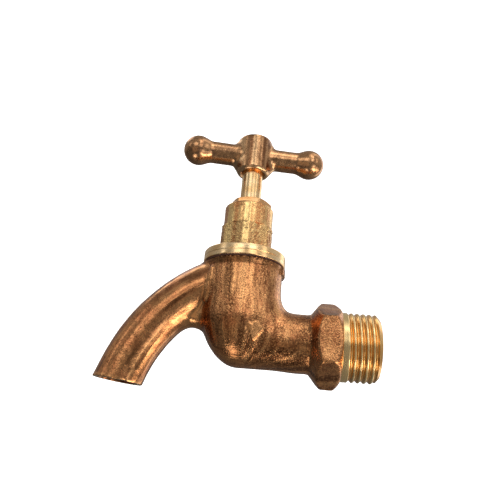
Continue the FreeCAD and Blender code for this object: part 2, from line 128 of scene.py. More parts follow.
# hollow radii where the casting's shapes meet
ELBOW_FILLET = 1.0
BARREL_FILLET = 3.6
SPOUT_FILLET = 2.2
CROTCH_FILLET = 6.5            # more, in the hollow under the spout's root
RIDGE_FILLET = 0.5
PATCH_FILLET = 0.15
HEX_FILLET = 0.5
SEAM_FILLET = 0.3
HEX_EDGE = 0.5                 # rounding of the hexagon's edges
CROTCH_REACH = (-6.0, -14.0)   # the hollow fills out along the spout between these
CROTCH_HEIGHT = (10.0, 3.0)    # and downwards between these

# painted highlights (above 0) and painted shade (below 0) on the casting's skin, in soft spots that
# also give the skin's uneven tone, as (from the spindle axis, y, z, radius, amount)
BODY_TONE_AND_PAINTED_LIGHT = [
    (-1.0, -12.0, 15.0, 8.0, 0.7),
    (4.0, -12.0, 10.0, 6.0, 0.4),
    (5.7, -10.4, 0.8, 3.4, 1.5),
    (1.8, -10.5, 0.0, 2.5, -0.8),
    (8.8, -9.5, -1.0, 2.5, -0.6),
    (-9.4, -7.8, 16.0, 2.2, 0.9),
    (-10.2, -6.5, 11.5, 2.2, 0.9),
    (-2.0, -9.0, -2.0, 4.5, 0.5),
    (-9.0, -8.0, 5.0, 5.0, -0.8),
    (-6.5, -10.0, 13.0, 3.0, -0.6),
    (9.0, -8.5, 16.0, 4.0, -0.6),
    (9.0, -8.5, 9.0, 4.0, -0.6),
    (2.0, -9.0, -3.5, 4.0, -0.8),
    (9.0, -7.0, -6.0, 5.5, -0.9),
    (15.0, -7.0, -6.0, 6.5, -1.0),
    (20.0, -7.0, -5.0, 5.0, -0.8),
    (22.0, -9.0, 1.0, 4.5, -2.0),
    (22.5, -6.0, 8.0, 5.0, -1.0),
    (28.5, -12.0, 0.0, 4.5, -0.4),
    (-16.0, -6.0, 17.0, 6.0, -0.7),
    (-24.0, -6.0, 10.0, 6.0, -0.5),
    (-14.5, -5.5, 8.5, 3.5, 0.9),
    (-30.0, -7.0, -10.0, 5.0, 0.4),
]

GRIT = (1.0, 0.5, 0.3)         # how gritty barrel, pipe and spout are
HANDLE_GRIT = 0.35
HANDLE_ROUGH = 0.7             # its unevenness beside the body's

# streaks of tumbling, as (length, width)
BARREL_STREAK = (9.0, 1.1)
PIPE_STREAK = (8.0, 1.0)
SPOUT_STREAK = (14.0, 0.9)

# layers of noise, as (lump size, amount, seed)
CAST_LAYERS = [(7.0, 0.07, 11), (2.6, 0.03, 12), (1.1, 0.016, 13)]
BONNET_LAYERS = [(0.7, 0.05, 21), (2.5, 0.03, 22)]
STREAK_LAYERS = [(1.0, 0.6, 31), (0.45, 0.4, 32)]

# inlet thread
THREAD_R = 20.955 / 2
CREST_END_R = 10.36
THREAD_PITCH = 25.4 / 14
THREAD_SEEN = 0.6              # depth of the dressed, slightly filled groove
TAIL_SUNK = 0.4                # how far the tail's mesh starts inside the hexagon
TAIL_COLLAR = 1.3
TAIL_CHAMFER = 1.2
TAIL_THREAD_START = math.radians(240.0)

# bonnet, gland and spindle
FLANGE_T = 3.7
SCRIBE_Z = BONNET_Z + 1.65     # the fine line round the flange
SCRIBE_DEPTH = 0.09
BONNET_SEAM = (1.3, 0.7)       # a bright seam down the front fades between these
SKIRT_BORE_R = 8.5
SKIRT_BORE_TOP_Z = 21.2
BONNET_HEX_AF = 16.4
BONNET_HEX_ROUND_R = 8.95
BONNET_HEX_TOP_Z = 36.5
BONNET_R = 8.1
SPINDLE_BORE_R = 4.68
SPINDLE_BORE_TOP_Z = 31.8
STUFFING_FLOOR_Z = 33.8
STUFFING_R = 5.8
GLAND_HEX_AF = 12.4
GLAND_HEX_TURN = math.radians(54.9)
GLAND_HEX_OFF = 0.35           # the flats were cut a little to the inlet side
GLAND_HEAD_Z = 44.3
SPINDLE_R = 3.5
SPINDLE_THREAD_R = 4.6
SPINDLE_THREAD_TOP_Z = 26.4
SPINDLE_THREAD_DEPTH = 0.9
SPINDLE_LEAD = 2.54
SQUARE_AF = 5.0
COUNTERSINK_DEPTH = 1.0
COUNTERSINK_R = 4.5
RUNNING = 0.08

# tee handle
HANDLE_Z = 64.6
HANDLE_TURN = math.radians(9.0)
BAR_R = 3.8
BALL_R = 5.17
BALL_REACH = 19.7
BOSS_R = 5.7
WEB_R = 8.3
WEB_HALF_Y = 4.4
GRUB_R = 1.6
GRUB_Z = 62.0
BALL_FILLET = 1.3
BOSS_FILLET = 0.7
BOSS_TOP_ROUND = 0.6
BOSS_BOTTOM_ROUND = 1.8

# how near a mesh point lies to a surface that it belongs to
ON_SKIN = 0.15
ON_PATCH = 0.12
MOSTLY = 0.6                   # the share of a face's corners that settles its material

# how far hollows and edges are felt for, in the body and in the handle
BODY_HOLLOW_REACH = 2.2
BODY_EDGE_REACH = 1.2
HANDLE_HOLLOW_REACH = 1.6
HANDLE_EDGE_REACH = 0.9

# mesh fineness
BODY_STEP = 0.4
HANDLE_STEP = 0.33
ROUND_STEPS = 288
TURNED_STEP = 0.3
GLAND_STEP = 0.22


# ------------------------------------------------------------------ numbers on arrays
def smooth(value, start, end):
    """0 before start, 1 after end, and a soft step between them."""
    t = np.clip((value - start) / (end - start), 0, 1)
    return t * t * (3 - 2 * t)


def join(a, b, reach):
    """The union of two distances, with a hollow radius of about reach between them."""
    h = np.clip(1 - np.abs(a - b) / reach, 0, 1)
    return np.minimum(a, b) - h * h * reach / 4


def both(a, b, reach):
    """What two distances share, with its edge rounded by about reach."""
    return -join(-a, -b, reach)


def unit(vectors):
    return vectors / np.maximum(np.linalg.norm(vectors, axis=1, keepdims=True), 1e-9)


LATTICE = 32


def value_noise(points, size, seed):
    """Smooth seeded noise from -1 to 1 whose lumps are about size wide."""
    values = np.random.RandomState(seed).uniform(-1, 1, (LATTICE, LATTICE, LATTICE))
    place = points / size
    low = np.floor(place).astype(int)
    t = place - low
    t = t * t * (3 - 2 * t)
    total = np.zeros(len(points))
    for corner in np.ndindex(2, 2, 2):
        weight = np.prod(np.where(np.array(corner) == 1, t, 1 - t), axis=1)
        x, y, z = ((low + corner) % LATTICE).T
        total += weight * values[x, y, z]
    return total


def layered_noise(points, layers):
    return sum(value_noise(points, size, seed) * amount for size, amount, seed in layers)


# ------------------------------------------------------------------ meshes
def surface_net(distance, low, high, step):
    """The closed quad mesh of the surface where a distance function is zero."""
    origin = np.array(low, float) - 2 * step
    counts = [int(math.ceil((h - l) / step)) + 5 for l, h in zip(low, high)]
    axes = [origin[n] + step * np.arange(counts[n]) for n in range(3)]
    grid = np.stack(np.meshgrid(*axes, indexing="ij"), -1).reshape(-1, 3)
    value = distance(grid).reshape(counts)
    size = int(np.prod(counts))
    total, number, quads = np.zeros((size, 3)), np.zeros(size), []
    for axis in range(3):
        one, two = (axis + 1) % 3, (axis + 2) % 3
        along = np.eye(3, dtype=int)
        near = tuple(slice(0, -1) if n == axis else slice(1, -1) for n in range(3))
        far = tuple(slice(1, None) if n == axis else slice(1, -1) for n in range(3))
        index = np.argwhere((value[near] < 0) != (value[far] < 0))
        index = index + along[one] + along[two]
        a = value[tuple(index.T)]
        b = value[tuple((index + along[axis]).T)]
        place = origin + step * (index + (a / (a - b))[:, None] * along[axis])
        cells = []
        for u, v in ((0, 0), (-1, 0), (-1, -1), (0, -1)):
            cell = np.ravel_multi_index((index + u * along[one] + v * along[two]).T, counts)
            cells.append(cell)
            for n in range(3):
                total[:, n] += np.bincount(cell, place[:, n], size)
            number += np.bincount(cell, minlength=size)
        quad = np.stack(cells, 1)
        quads.append(np.where((a < 0)[:, None], quad, quad[:, ::-1]))
    used = number > 0
    renumber = np.cumsum(used) - 1
    return total[used] / number[used][:, None], renumber[np.concatenate(quads)]


def slope(distance, points, reach=0.02):
    """The outward direction of a distance function."""
    offsets = np.eye(3) * reach
    return unit(np.stack([distance(points + o) - distance(points - o) for o in offsets], 1))


def settle(distance, points, step):
    """Bring a surface net's points on to the true surface."""
    for _ in range(3):
        move = np.clip(distance(points), -step / 2, step / 2)
        points = points - slope(distance, points) * move[:, None]
    return points


def hollowness(distance, points, normals, reach):
    """1 deep inside a corner between surfaces, 0 on open ones."""
    return np.clip(1 - distance(points + normals * reach) / reach, 0, 1)


def sharpness(distance, points, normals, reach):
    """Towards 1 on an outside edge, 0 on open surfaces."""
    return np.clip(1 + distance(points - normals * reach) / reach, 0, 1)


def new_piece(name, points, faces, materials, choice=None, attributes=None, sharp_deg=32.0):
    """A mesh object from points in millimetres."""
    mesh = bpy.data.meshes.new(name)
    mesh.from_pydata((points * MM).tolist(), [], faces.tolist())
    for key, values in (attributes or {}).items():
        layer = mesh.attributes.new(key, "FLOAT", "POINT")
        layer.data.foreach_set("value", np.asarray(values, np.float32))
    for material in materials:
        mesh.materials.append(material)
    if choice is not None:
        mesh.polygons.foreach_set("material_index", np.asarray(choice, np.int32))
    mesh.shade_smooth()
    mesh.set_sharp_from_angle(angle=math.radians(sharp_deg))
    mesh.update()
    piece = bpy.data.objects.new(name, mesh)
    bpy.context.scene.collection.objects.link(piece)
    return piece


def arc(centre_r, centre_z, radius, start_deg, end_deg, steps=4):
    """Points of an outline's round corner."""
    angles = np.radians(np.linspace(start_deg, end_deg, steps + 1))
    return [(centre_r + radius * math.cos(a), centre_z + radius * math.sin(a)) for a in angles]


def finer(outline, step):
    """A closed outline with no side longer than step."""
    points = []
    for here, there in zip(outline, outline[1:] + outline[:1]):
        parts = max(1, math.ceil(math.dist(here, there) / step))
        for n in range(parts):
            t = n / parts
            points.append((here[0] + (there[0] - here[0]) * t, here[1] + (there[1] - here[1]) * t))
    return np.array(points)


def turned(outline, limit=None):
    """Points and quads of a closed outline of (radius, z) turned about Z; limit(angle, radius, z)
    may pull points in, for flats and threads."""
    angle = np.linspace(0, 2 * math.pi, ROUND_STEPS, endpoint=False)
    theta, radius = np.meshgrid(angle, outline[:, 0], indexing="ij")
    height = np.meshgrid(angle, outline[:, 1], indexing="ij")[1]
    if limit is not None:
        radius = limit(theta, radius, height)
    points = np.stack([radius * np.cos(theta), radius * np.sin(theta), height], -1)
    rows, columns = theta.shape
    index = np.arange(rows * columns).reshape(rows, columns)
    around = np.roll(index, -1, 0)
    onward = np.roll(index, -1, 1)
    faces = np.stack([index, around, np.roll(around, -1, 1), onward], -1)
    return points.reshape(-1, 3), faces.reshape(-1, 4)


def flats(theta, across, turn, ease):
    """The radius of a hexagon with its first corner at turn and its corners eased."""
    sixth = math.pi / 3
    off = np.mod(theta - turn, sixth) - sixth / 2
    corner = across / math.sqrt(3)
    return np.minimum(across / 2 / np.cos(off), corner - ease)


def groove(theta, along, start, pitch, depth, hand_turn=0.0):
    """How deep a thread's rounded V cuts at each place; start is the first groove's middle."""
    turn = (theta - hand_turn) / (2 * math.pi)
    share = np.mod((along - start) / pitch - turn + 0.5, 1) - 0.5
    flank = 1 - np.abs(share) * 2
    return depth * smooth(flank, 0.1, 0.95)


# ------------------------------------------------------------------ the cast body's shape
def spout_frame(s, z):
    """Angle along the spout's arc, distance past its end, and distance off its line."""
    dx, dz = s - SPOUT_CENTRE[0], z - SPOUT_CENTRE[1]
    angle = np.arctan2(dz, dx)
    end = (
        SPOUT_CENTRE[0] + SPOUT_ARC_R * math.cos(SPOUT_END),
        SPOUT_CENTRE[1] + SPOUT_ARC_R * math.sin(SPOUT_END),
    )
    direction = (-math.sin(SPOUT_END), math.cos(SPOUT_END))
    past = (s - end[0]) * direction[0] + (z - end[1]) * direction[1]
    off_line = (s - end[0]) * direction[1] - (z - end[1]) * direction[0]
    off_arc = SPOUT_ARC_R - np.hypot(dx, dz)
    return angle, past, off_line, off_arc


def spout_tube(s, y, z, start, root_r, nose_r):
    """Distance to a tapering rod along the spout."""
    angle, past, off_line, off_arc = spout_frame(s, z)
    angle = np.where(angle < -math.pi / 2, angle + 2 * math.pi, angle)
    share = np.clip((angle - start) / (SPOUT_END - start), 0, 1)
    radius = root_r + (nose_r - root_r) * share
    before = np.maximum(start - angle, 0) * SPOUT_ARC_R
    off = np.where(past > 0, off_line, off_arc)
    return np.sqrt(off**2 + y**2 + before**2) - radius


def past_mouth(s, z):
    """Above zero beyond the tilted cut across the mouth."""
    reach_s = SPOUT_ARC_R * math.cos(SPOUT_END) - SPOUT_NOSE * math.sin(SPOUT_END)
    reach_z = SPOUT_ARC_R * math.sin(SPOUT_END) + SPOUT_NOSE * math.cos(SPOUT_END)
    across = (s - SPOUT_CENTRE[0] - reach_s) * math.sin(MOUTH_TILT)
    return -(across + (z - SPOUT_CENTRE[1] - reach_z) * math.cos(MOUTH_TILT))


def barrel(s, y, z):
    """The upright barrel, with a slight flare under the bonnet and a lug on the inlet side."""
    facing_inlet = smooth(s / np.maximum(np.hypot(s, y), 1e-6), 0.90, 0.97)
    lug = (LUG_R - BARREL_R) * smooth(z, LUG_Z, LUG_Z + LUG_BEVEL) * facing_inlet
    flare = np.maximum((RIM_R - BARREL_R) * smooth(z, RIM_Z, BODY_TOP_Z), lug)
    drop = np.minimum(z - BARREL_FOOT_Z, 0)
    return np.sqrt(s**2 + y**2 + drop**2) - BARREL_R - flare


def pipe(s, y, z, radius, end_s):
    before = np.minimum(s - PIPE_START, 0)
    return np.maximum(np.sqrt(before**2 + y**2 + z**2) - radius, s - end_s)


def elbow(s, y, z):
    """The bend from the pipe up into the barrel."""
    ds, dz = s - ELBOW_LEG - ELBOW_R, z - ELBOW_R
    bend = np.hypot(np.hypot(ds, dz) - ELBOW_R, y) - PIPE_R
    leg = np.hypot(s - ELBOW_LEG, y) - PIPE_R
    inside = (ds < 0) & (dz < 0)
    return np.where(inside, bend, np.where(dz >= 0, leg, pipe(s, y, z, PIPE_R, -AXIS_X)))


def hexagon(x, y, z):
    """The inlet's spanner flats, corners up and down, bevelled at both ends."""
    apothem = HEX_CORNER_R * math.cos(math.pi / 6)
    shape = np.maximum(x, -HEX_LENGTH - x)
    for turn in (0.0, math.pi / 3, -math.pi / 3):
        side = np.abs(y * math.cos(turn) + z * math.sin(turn)) - apothem
        shape = both(shape, side, HEX_EDGE)
    radius = np.hypot(y, z)
    for x0, r0, x1, r1 in (
        (-HEX_LENGTH, HEX_BACK_R, -HEX_BACK, HEX_CORNER_R),
        (-HEX_FRONT, HEX_CORNER_R, 0.0, SHOULDER_R),
    ):
        length = math.hypot(x1 - x0, r1 - r0)
        bevel = ((x - x0) * (r0 - r1) + (radius - r0) * (x1 - x0)) / length
        shape = both(shape, bevel, HEX_EDGE)
    return shape


def flash_ridge(s, y, z):
    """The low ridge of metal left where the spout's core print met the barrel."""
    shape = np.full(len(s), 99.0)
    for (s0, y0, z0), (s1, y1, z1) in zip(RIDGE, RIDGE[1:]):
        run = np.array([s1 - s0, y1 - y0, z1 - z0])
        share = (s - s0) * run[0] + (y - y0) * run[1] + (z - z0) * run[2]
        share = np.clip(share / run.dot(run), 0, 1)
        off = (s - s0 - share * run[0])**2 + (y - y0 - share * run[1])**2
        shape = np.minimum(shape, np.sqrt(off + (z - z0 - share * run[2])**2) - RIDGE_R)
    return shape


def dressed_patch(s, y, z):
    """A small flat left by the file at the corner of barrel and pipe."""
    normal, corner = unit(np.array([PATCH_NORMAL]))[0], PATCH_CORNERS[0]
    shape = (s - corner[0]) * normal[0] + (y - PATCH_Y) * normal[1] + (z - corner[1]) * normal[2]
    shape = np.maximum(shape, y)
    for (s0, z0), (s1, z1) in zip(PATCH_CORNERS, PATCH_CORNERS[1:] + PATCH_CORNERS[:1]):
        length = math.hypot(s1 - s0, z1 - z0)
        side = ((s - s0) * (z1 - z0) - (z - z0) * (s1 - s0)) / length
        shape = np.maximum(shape, side)
    return shape


def body_skin(points):
    x, y, z = points.T
    s = x - AXIS_X
    spout = np.maximum(
        spout_tube(s, y, z, SPOUT_START, SPOUT_ROOT_R, SPOUT_NOSE_R), past_mouth(s, z)
    )
    trunk = join(pipe(s, y, z, PIPE_R, -AXIS_X - 0.5), elbow(s, y, z), ELBOW_FILLET)
    trunk = join(barrel(s, y, z), trunk, BARREL_FILLET)
    crotch = smooth(s, *CROTCH_REACH) * smooth(z, *CROTCH_HEIGHT)
    trunk = join(trunk, spout, SPOUT_FILLET + CROTCH_FILLET * crotch)
    trunk = join(trunk, flash_ridge(s, y, z), RIDGE_FILLET)
    trunk = join(trunk, dressed_patch(s, y, z), PATCH_FILLET)
    trunk = np.maximum(trunk, z - BODY_TOP_Z)
    seam = np.hypot(x + HEX_LENGTH, np.hypot(y, z) - HEX_BACK_R) - SEAM_R
    return join(join(trunk, hexagon(x, y, z), HEX_FILLET), seam, SEAM_FILLET)


def rod(s, y, z, radius, low, high):
    return np.maximum(np.hypot(s, y) - radius, np.maximum(low - z, z - high))


def waterway(points):
    x, y, z = points.T
    s = x - AXIS_X
    top = BODY_TOP_Z + 2
    chamber = rod(s, y, z, CHAMBER_R, WEB_TOP_Z, top)
    chamber = np.maximum(chamber, -rod(s, y, z, SEAT_RING_R, WEB_TOP_Z - 1, SEAT_Z))
    bend_s = SPOUT_CENTRE[0] + SPOUT_ARC_R * math.cos(SPOUT_BORE_START)
    along = np.clip(s, bend_s, -PORT_END)
    spout = spout_tube(s, y, z, SPOUT_BORE_START, SPOUT_BORE_R, SPOUT_BORE_R)
    hollows = [
        pipe(s, y, z, INLET_BORE_R, TAIL_LENGTH - AXIS_X + 2),
        rod(s, y, z, SEAT_BORE_R, 0, SEAT_Z + 1),
        chamber,
        rod(s, y, z, CHAMBER_THREAD_R, CHAMBER_THREAD_Z, top),
        np.sqrt((s - along)**2 + y**2 + (z - PORT_Z)**2) - PORT_R,
        spout,
    ]
    return np.minimum.reduce(hollows)


def body_distance(points):
    return np.maximum(body_skin(points), -waterway(points))


def streaks(points):
    """Long faint marks of tumbling that run down the barrel and along the pipe and spout, and
    how gritty each of the three was left."""
    x, y, z = points.T
    s = x - AXIS_X
    angle, past, off_line, off_arc = spout_frame(s, z)
    off = np.where(past > 0, off_line, off_arc)
    tube = spout_tube(s, y, z, SPOUT_START, SPOUT_ROOT_R, SPOUT_NOSE_R)
    along_spout = angle * SPOUT_ARC_R + np.maximum(past, 0)
    away = np.array([barrel(s, y, z), pipe(s, y, z, PIPE_R, 0), tube])
    runs = [
        (z, np.arctan2(y, s) * BARREL_R, BARREL_STREAK),
        (x, np.arctan2(y, z) * PIPE_R, PIPE_STREAK),
        (along_spout, np.arctan2(y, off) * SPOUT_ROOT_R, SPOUT_STREAK),
    ]
    nearest = np.argmin(away, 0)
    weight = np.exp(-(away - away.min(0)) / 0.8)
    grit = (weight * np.array(GRIT)[:, None]).sum(0) / weight.sum(0)
    grit = np.maximum(grit, smooth(x, -HEX_LENGTH, -HEX_LENGTH + 1.5))
    marks = np.zeros(len(points))
    for number, (along, around, (length, width)) in enumerate(runs):
        here = nearest == number
        apart = np.full(len(x), 7.3 * number)
        flat = np.stack([along / length, around / width + 40 * number, apart], 1)[here]
        marks[here] = layered_noise(flat, STREAK_LAYERS)
    return marks, grit


def spots(points, places):
    """How much soft round spots lighten or darken each point."""
    total = np.zeros(len(points))
    for s, y, z, radius, amount in places:
        away = np.linalg.norm(points - np.array([AXIS_X + s, y, z]), axis=1)
        total += amount * smooth(away, radius, radius * 0.3)
    return total


def tap_body(cast, machined):
    low = BODY_LOW - 0.5
    high = np.array([0.0, BODY_HIGH[1] + 0.5, BODY_TOP_Z])
    points, faces = surface_net(body_distance, low, high, BODY_STEP)
    points = settle(body_distance, points, BODY_STEP)
    normals = slope(body_distance, points)
    x, y, z = points.T
    outside = np.abs(body_skin(points)) < ON_SKIN
    cut = np.abs(past_mouth(x - AXIS_X, z)) < ON_SKIN
    flat_top = z > BODY_TOP_Z - ON_SKIN
    shoulder = x > -ON_SKIN
    planed = cut | flat_top | shoulder
    rough = np.where(outside & ~planed, 1.0, 0.0)
    points = points + normals * (layered_noise(points, CAST_LAYERS) * rough)[:, None]
    # a band of painted shadow under the bonnet's flange, added to the dark patina of the hollows;
    # no edge wear is painted in it
    painted_flange_shadow = smooth(z, BODY_TOP_Z - BODY_HOLLOW_REACH, BODY_TOP_Z)
    hollow = hollowness(body_skin, points, normals, BODY_HOLLOW_REACH)
    hollow = np.maximum(hollow, painted_flange_shadow * 0.5)
    marks, grit = streaks(points)
    filed = np.abs(dressed_patch(x - AXIS_X, y, z)) < ON_PATCH
    worn = sharpness(body_skin, points, normals, BODY_EDGE_REACH) * (1 - painted_flange_shadow)
    worn = np.maximum(worn, filed * 0.6)
    attributes = {
        "hollow": hollow * outside,
        "edge": worn * outside,
        "inside": np.where(outside, 0.0, 1.0),
        "streak": marks * outside * ~filed,
        "grit": grit,
        # tone: soft spots of painted highlight and painted shade, along with the skin's uneven tone
        "tone": spots(points, BODY_TONE_AND_PAINTED_LIGHT) * outside * ~filed,
    }
    choice = planed[faces].mean(1) > MOSTLY
    return new_piece("tap_body_casting", points, faces, [cast, machined], choice, attributes)


def inlet_thread(brass):
    """The threaded tail, turned about the inlet axis."""
    slant = THREAD_R - CREST_END_R
    outline = finer([
        (INLET_BORE_R, -TAIL_SUNK),
        (THREAD_R, -TAIL_SUNK),
        (THREAD_R, TAIL_COLLAR),
        (CREST_END_R + 0.02, TAIL_LENGTH - TAIL_CHAMFER),
        (CREST_END_R - TAIL_CHAMFER, TAIL_LENGTH - 0.1),
        (CREST_END_R - TAIL_CHAMFER - 0.1, TAIL_LENGTH),
        (INLET_BORE_R + 0.4, TAIL_LENGTH),
        (INLET_BORE_R, TAIL_LENGTH - 0.4),
    ], THREAD_PITCH / 22)

    def crest_at(height):
        return THREAD_R - slant * np.clip((height - TAIL_COLLAR) / TAIL_LENGTH, 0, 1)

    def limit(theta, radius, height):
        start = TAIL_COLLAR + THREAD_PITCH / 2
        cut = groove(theta, height, start, THREAD_PITCH, THREAD_SEEN, TAIL_THREAD_START)
        fade = smooth(height, TAIL_COLLAR, start)
        threaded = np.minimum(radius, crest_at(height) - cut * fade)
        return np.where(radius > INLET_BORE_R + 0.5, threaded, radius)

    points, faces = turned(outline, limit)
    radius, crest = np.hypot(points[:, 0], points[:, 1]), crest_at(points[:, 2])
    polished = {"edge": smooth(radius, crest - 0.22, crest - 0.04)}
    points = points[:, [2, 1, 0]] * np.array([1, 1, -1])
    return new_piece("inlet_thread", points, faces, [brass], attributes=polished, sharp_deg=50.0)


# ------------------------------------------------------------------ bonnet, gland, spindle
def on_axis(points):
    return points + np.array([AXIS_X, 0, 0])


def bonnet(cast, machined):
    """The headwork: flange turned bright, with a scribed line, and a rough cast hexagon and top."""
    flange_top = BONNET_Z + FLANGE_T
    outline = [
        (SKIRT_BORE_R, SKIRT_Z),
        (CHAMBER_THREAD_R, SKIRT_Z),
        (CHAMBER_THREAD_R, BONNET_Z),
        *arc(FLANGE_R - 0.25, BONNET_Z + 0.25, 0.25, -90, 0),
        (FLANGE_R, SCRIBE_Z - 0.1),
        (FLANGE_R - SCRIBE_DEPTH, SCRIBE_Z),
        (FLANGE_R, SCRIBE_Z + 0.1),
        *arc(FLANGE_R - 0.4, flange_top - 0.4, 0.4, 0, 90),
        *arc(BONNET_HEX_ROUND_R + 0.3, flange_top + 0.3, 0.3, -90, -180),
        *arc(BONNET_HEX_ROUND_R - 0.5, BONNET_HEX_TOP_Z - 0.5, 0.5, 0, 90),
        *arc(BONNET_R + 0.3, BONNET_HEX_TOP_Z + 0.3, 0.3, -90, -180),
        *arc(BONNET_R - 0.7, BONNET_TOP_Z - 0.7, 0.7, 0, 90, 6),
        (STUFFING_R, BONNET_TOP_Z),
        (STUFFING_R, STUFFING_FLOOR_Z),
        (SPINDLE_R + RUNNING, STUFFING_FLOOR_Z),
        (SPINDLE_R + RUNNING, SPINDLE_BORE_TOP_Z),
        (SPINDLE_BORE_R, SPINDLE_BORE_TOP_Z),
        (SPINDLE_BORE_R, SKIRT_BORE_TOP_Z),
        (SKIRT_BORE_R, SKIRT_BORE_TOP_Z),
    ]
    outline = finer(outline, TURNED_STEP)

    def limit(theta, radius, height):
        on_hex = (height > flange_top + 0.02) & (height < BONNET_HEX_TOP_Z)
        hexed = np.minimum(radius, flats(theta, BONNET_HEX_AF, math.pi / 6, 0.1))
        return np.where(on_hex & (radius > STUFFING_R + 1), hexed, radius)

    points, faces = turned(outline, limit)
    radius = np.hypot(points[:, 0], points[:, 1])
    cast_zone = (points[:, 2] > flange_top + 0.1) & (radius > BONNET_R - 1.5)
    cast_zone &= points[:, 2] < BONNET_TOP_Z - 0.2
    outward = unit(points * np.array([1, 1, 0]))
    grain = layered_noise(points, BONNET_LAYERS)
    hex_zone = smooth(points[:, 2], BONNET_HEX_TOP_Z + 0.6, BONNET_HEX_TOP_Z - 0.6)
    points = points + outward * (grain * cast_zone * (1 + 1.2 * hex_zone))[:, None]
    choice = cast_zone[faces].mean(1) < MOSTLY
    around = np.arctan2(points[:, 1], points[:, 0]) * BONNET_R
    bands = value_noise(np.stack([around / 1.5, points[:, 2] / 30, 0 * around], 1), 1.0, 51)
    front = -math.pi / 2 * BONNET_R
    seam = smooth(np.abs(around - front), *BONNET_SEAM)
    bands = np.where(seam > 0, seam * 0.9, bands) * (1 - 0.5 * hex_zone)
    grit = (0.8 + 0.5 * hex_zone) * (1 - 0.7 * seam)
    attributes = {"streak": bands, "tone": -0.3 * hex_zone * (1 - seam), "grit": grit}
    materials = [cast, machined]
    return new_piece("bonnet_headwork", on_axis(points), faces, materials, choice, attributes)


def gland_nut(brass):
    """A sleeve with a thin bevelled hexagon for its head."""
    corner = GLAND_HEX_AF / math.sqrt(3)
    outline = finer([
        (SPINDLE_R + RUNNING, GLAND_FOOT_Z),
        (STUFFING_R, GLAND_FOOT_Z),
        (STUFFING_R, GLAND_HEAD_Z),
        *arc(corner - 0.2, GLAND_HEAD_Z + 0.2, 0.2, -90, 0),
        (corner, GLAND_TOP_Z - 0.55),
        (corner - 1.0, GLAND_TOP_Z - 0.08),
        (corner - 1.2, GLAND_TOP_Z),
        (SPINDLE_R + RUNNING + 0.4, GLAND_TOP_Z),
        (SPINDLE_R + RUNNING, GLAND_TOP_Z - 0.4),
    ], GLAND_STEP)

    def limit(theta, radius, height):
        head = flats(theta, GLAND_HEX_AF, GLAND_HEX_TURN, 0.15)
        return np.where(height > GLAND_HEAD_Z - 0.01, np.minimum(radius, head), radius)

    points, faces = turned(outline, limit)
    on_head = np.hypot(points[:, 0], points[:, 1]) > STUFFING_R
    on_head &= points[:, 2] > GLAND_HEAD_Z + 0.01
    points[:, 0] += GLAND_HEX_OFF * on_head
    return new_piece("gland_nut_turned", on_axis(points), faces, [brass])


def spindle(brass):
    """A threaded foot, a plain stem and a square that the handle sits on."""
    stem_top = BOSS_BOTTOM_Z + COUNTERSINK_DEPTH
    outline = finer([
        (0.001, SPINDLE_FOOT_Z),
        (SPINDLE_THREAD_R - 0.4, SPINDLE_FOOT_Z),
        (SPINDLE_THREAD_R, SPINDLE_FOOT_Z + 0.4),
        (SPINDLE_THREAD_R, SPINDLE_THREAD_TOP_Z),
        (SPINDLE_R, SPINDLE_THREAD_TOP_Z + 0.3),
        (SPINDLE_R, SPINDLE_TOP_Z - 0.3),
        (SPINDLE_R - 0.3, SPINDLE_TOP_Z),
        (0.001, SPINDLE_TOP_Z),
    ], TURNED_STEP)

    def limit(theta, radius, height):
        cut = groove(theta, height, SPINDLE_FOOT_Z + 1, SPINDLE_LEAD, SPINDLE_THREAD_DEPTH)
        threaded = np.minimum(radius, SPINDLE_THREAD_R - cut)
        radius = np.where(height < SPINDLE_THREAD_TOP_Z, threaded, radius)
        off = np.mod(theta - HANDLE_TURN + math.pi / 4, math.pi / 2) - math.pi / 4
        square = SQUARE_AF / 2 / np.cos(off)
        return np.where(height > stem_top, np.minimum(radius, square), radius)

    points, faces = turned(outline, limit)
    return new_piece("spindle_turned", on_axis(points), faces, [brass])


# ------------------------------------------------------------------ tee handle
def handle_axes(points):
    """Points in the handle's own axes: bar along the first, spindle axis along the third."""
    s, y = points[:, 0] - AXIS_X, points[:, 1]
    c, n = math.cos(HANDLE_TURN), math.sin(HANDLE_TURN)
    return s * c + y * n, y * c - s * n, points[:, 2] - HANDLE_Z


def handle_skin(points):
    u, v, w = handle_axes(points)
    bar = np.maximum(np.hypot(v, w) - BAR_R, np.abs(u) - BALL_REACH)
    ball = np.sqrt((np.abs(u) - BALL_REACH)**2 + v**2 + w**2) - BALL_R
    shape = join(bar, ball, BALL_FILLET)
    stretch = WEB_R / WEB_HALF_Y
    web = (np.sqrt(u**2 + (v * stretch)**2 + w**2) - WEB_R) / stretch
    shape = join(shape, web, BOSS_FILLET)
    drum = np.hypot(u, v) - BOSS_R
    return join(shape, drum, BOSS_FILLET)


def handle_distance(points):
    u, v, w = handle_axes(points)
    z = w + HANDLE_Z
    shape = handle_skin(points)
    shape = both(shape, z - BOSS_TOP_Z, BOSS_TOP_ROUND)
    shape = both(shape, BOSS_BOTTOM_Z - z, BOSS_BOTTOM_ROUND)
    half = SQUARE_AF / 2
    socket = np.maximum(np.maximum(np.abs(u), np.abs(v)) - half, np.hypot(u, v) - SPINDLE_R)
    sink_slope = (COUNTERSINK_R - SPINDLE_R) / COUNTERSINK_DEPTH
    sink = np.hypot(u, v) - COUNTERSINK_R + (z - BOSS_BOTTOM_Z) * sink_slope
    sink = np.maximum(sink * 0.7, z - BOSS_BOTTOM_Z - COUNTERSINK_DEPTH)
    grub = np.maximum(np.hypot(u, z - GRUB_Z) - GRUB_R, -v)
    hollow = np.minimum(np.minimum(socket, sink), grub)
    return np.maximum(shape, -hollow)


def drum_bands(u, v):
    """Faint upright marks round the handle's boss."""
    around = np.arctan2(v, u) * BOSS_R
    return value_noise(np.stack([around / 1.2, 0 * u, 0 * u], 1), 1.0, 41)


